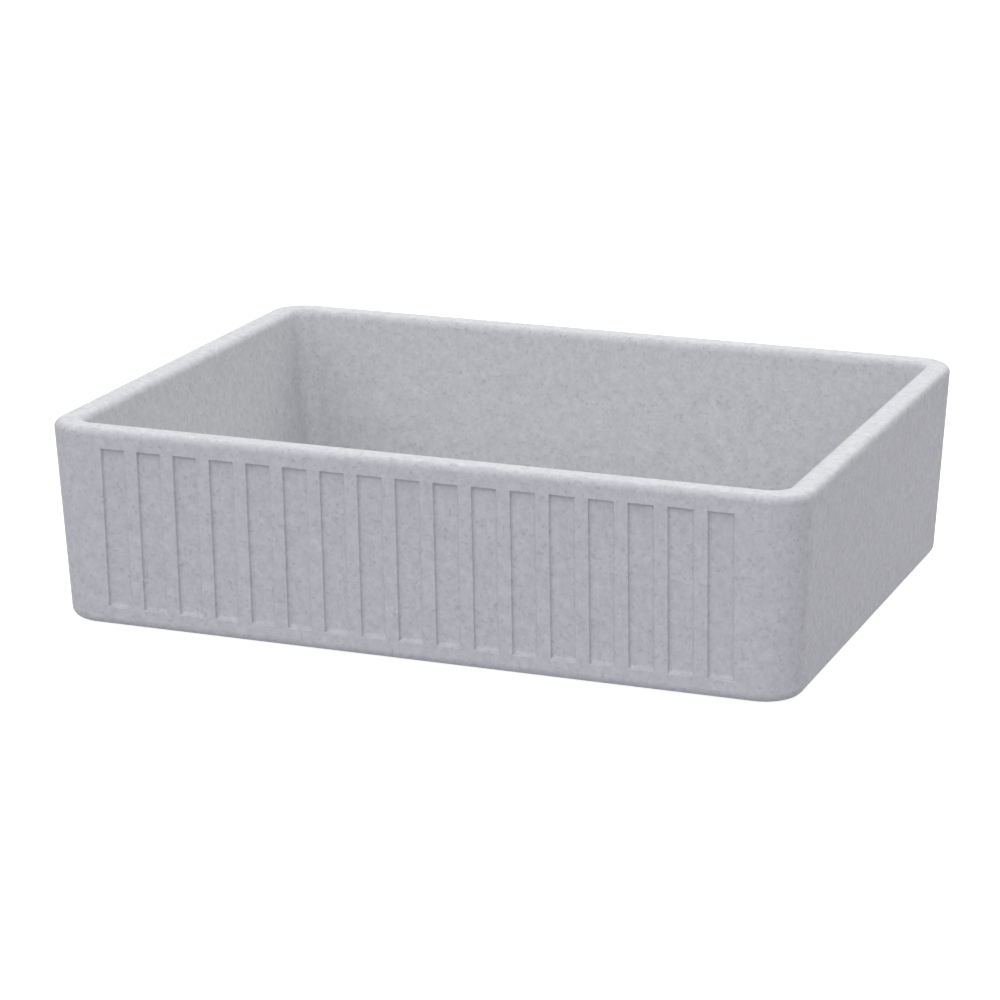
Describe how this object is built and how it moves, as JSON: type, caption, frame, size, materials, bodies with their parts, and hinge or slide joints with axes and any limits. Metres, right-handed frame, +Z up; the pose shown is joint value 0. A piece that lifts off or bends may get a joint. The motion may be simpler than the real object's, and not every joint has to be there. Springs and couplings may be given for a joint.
{
  "type": "farmhouse apron front sink",
  "caption": "Farmhouse sink in speckled grey stone composite: a deep rectangular bowl behind an apron with vertical flutes, rounded rim and corners, and a lift-out basket strainer in the drain.",
  "frame": {"origin": "middle of the base, on the face that a cabinet deck or rails carry; the drain parts hang below it", "axes": "+Z up, -Y towards the fluted front, +X to the right of someone who stands before the sink"},
  "size_m": [0.7614, 0.5744, 0.253],
  "materials": {
    "speckled_stone": "matte stone composite with fine dark and light flecks",
    "plumbers_putty": "dull putty",
    "stainless_steel": "satin",
    "polished_steel": "polished",
    "black_rubber": "matte",
    "red_fibre": "pressed fibre",
    "brass": "machined",
    "cast_zinc": "die cast, dull"
  },
  "bodies": {
    "sink": {"sink_body": "speckled_stone", "putty_ring": "plumbers_putty", "strainer_body": "stainless_steel", "rubber_gasket": "black_rubber", "friction_ring": "red_fibre", "lock_nut": "cast_zinc", "outlet_spud": "brass", "crosspiece": "stainless_steel"},
    "basket": {"basket_cup": "stainless_steel", "post_bush": "brass"},
    "stopper": {"basket_post": "polished_steel", "basket_knob": "polished_steel", "stopper_washer": "stainless_steel", "stopper_seal": "black_rubber", "stopper_nut": "brass", "post_clip": "polished_steel"}
  },
  "joints": [
    {"name": "basket_lift", "type": "slide", "parent": "sink", "child": "basket", "axis": [0, 0, 1], "range_m": [0, 0.26]},
    {"name": "stopper_travel", "type": "slide", "parent": "basket", "child": "stopper", "axis": [0, 0, 1], "range_m": [0, 0.008]}
  ]
}
